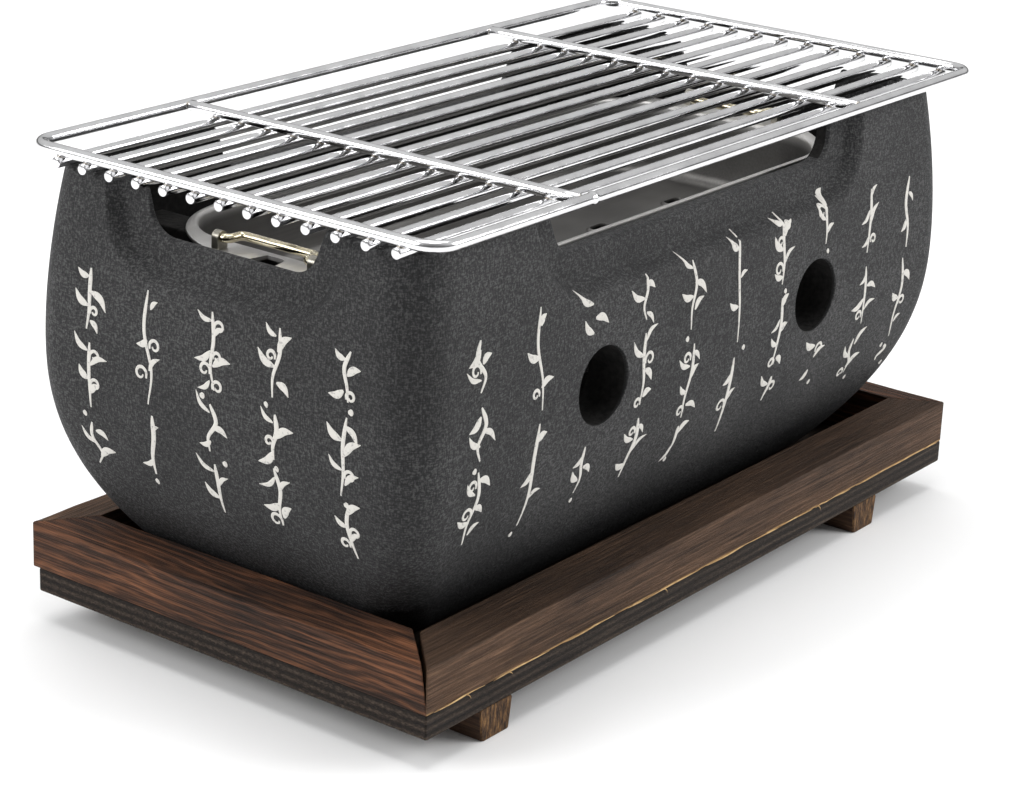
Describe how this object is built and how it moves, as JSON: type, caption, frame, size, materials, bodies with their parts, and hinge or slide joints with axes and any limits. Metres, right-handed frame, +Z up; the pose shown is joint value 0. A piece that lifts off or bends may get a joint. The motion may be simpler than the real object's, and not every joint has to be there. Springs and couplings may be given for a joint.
{
  "type": "hibachi grill",
  "caption": "Table-top hibachi grill: a round-cornered black cast body in a charred wooden tray, with a lift-out charcoal pan and a welded wire grate.",
  "frame": {"origin": "on the table, under the middle of the tray", "axes": "+X along the grill to its right end, +Y to its back, +Z up; the tray's sprung mitre is at -X -Y"},
  "size_m": [0.2426, 0.127, 0.1263],
  "materials": {
    "black_coated_casting": "matt black fine-textured coating over cast aluminium",
    "charred_rail_wood": "torched and brushed softwood",
    "base_plywood": "stained plywood, dark edges",
    "batten_wood": "torched softwood, paler end grain",
    "brad_steel": "plain steel",
    "pan_sheet_metal": "satin pressed sheet",
    "clip_steel": "plated",
    "bail_wire": "pale brass-toned polished wire",
    "polished_grate_wire": "bright polished"
  },
  "bodies": {
    "tray": {"front_rail": "charred_rail_wood", "back_rail": "charred_rail_wood", "left_rail": "charred_rail_wood", "right_rail": "charred_rail_wood", "base_panel": "base_plywood", "left_foot_batten": "batten_wood", "right_foot_batten": "batten_wood", "batten_brads": "brad_steel", "rail_brads": "brad_steel"},
    "fire_body": {"body_casting": "black_coated_casting"},
    "pan": {"charcoal_pan": "pan_sheet_metal", "left_bail_clips": "clip_steel", "right_bail_clips": "clip_steel"},
    "left_bail": {"left_bail": "bail_wire"},
    "right_bail": {"right_bail": "bail_wire"},
    "grate": {"grate_rod_01": "polished_grate_wire", "grate_rod_02": "polished_grate_wire", "grate_rod_03": "polished_grate_wire", "grate_rod_04": "polished_grate_wire", "grate_rod_05": "polished_grate_wire", "grate_rod_06": "polished_grate_wire", "grate_rod_07": "polished_grate_wire", "grate_rod_08": "polished_grate_wire", "grate_rod_09": "polished_grate_wire", "grate_rod_10": "polished_grate_wire", "grate_rod_11": "polished_grate_wire", "grate_rod_12": "polished_grate_wire", "grate_rod_13": "polished_grate_wire", "left_cross_bar": "polished_grate_wire", "right_cross_bar": "polished_grate_wire", "grate_frame_wire": "polished_grate_wire"}
  },
  "joints": [
    {"name": "body_lift", "type": "slide", "parent": "tray", "child": "fire_body", "axis": [0, 0, 1], "range_m": [0, 0.08]},
    {"name": "pan_lift", "type": "slide", "parent": "fire_body", "child": "pan", "axis": [0, 0, 1], "range_m": [0, 0.06]},
    {"name": "grate_lift", "type": "slide", "parent": "pan", "child": "grate", "axis": [0, 0, 1], "range_m": [0, 0.06]},
    {"name": "left_bail_pivot", "type": "hinge", "parent": "pan", "child": "left_bail", "pos_m": [-0.1023, 0.002, 0.10735], "axis": [0, -1, 0], "range_deg": [0, 90]},
    {"name": "right_bail_pivot", "type": "hinge", "parent": "pan", "child": "right_bail", "pos_m": [0.0987, 0.002, 0.10735], "axis": [0, 1, 0], "range_deg": [0, 90]}
  ]
}
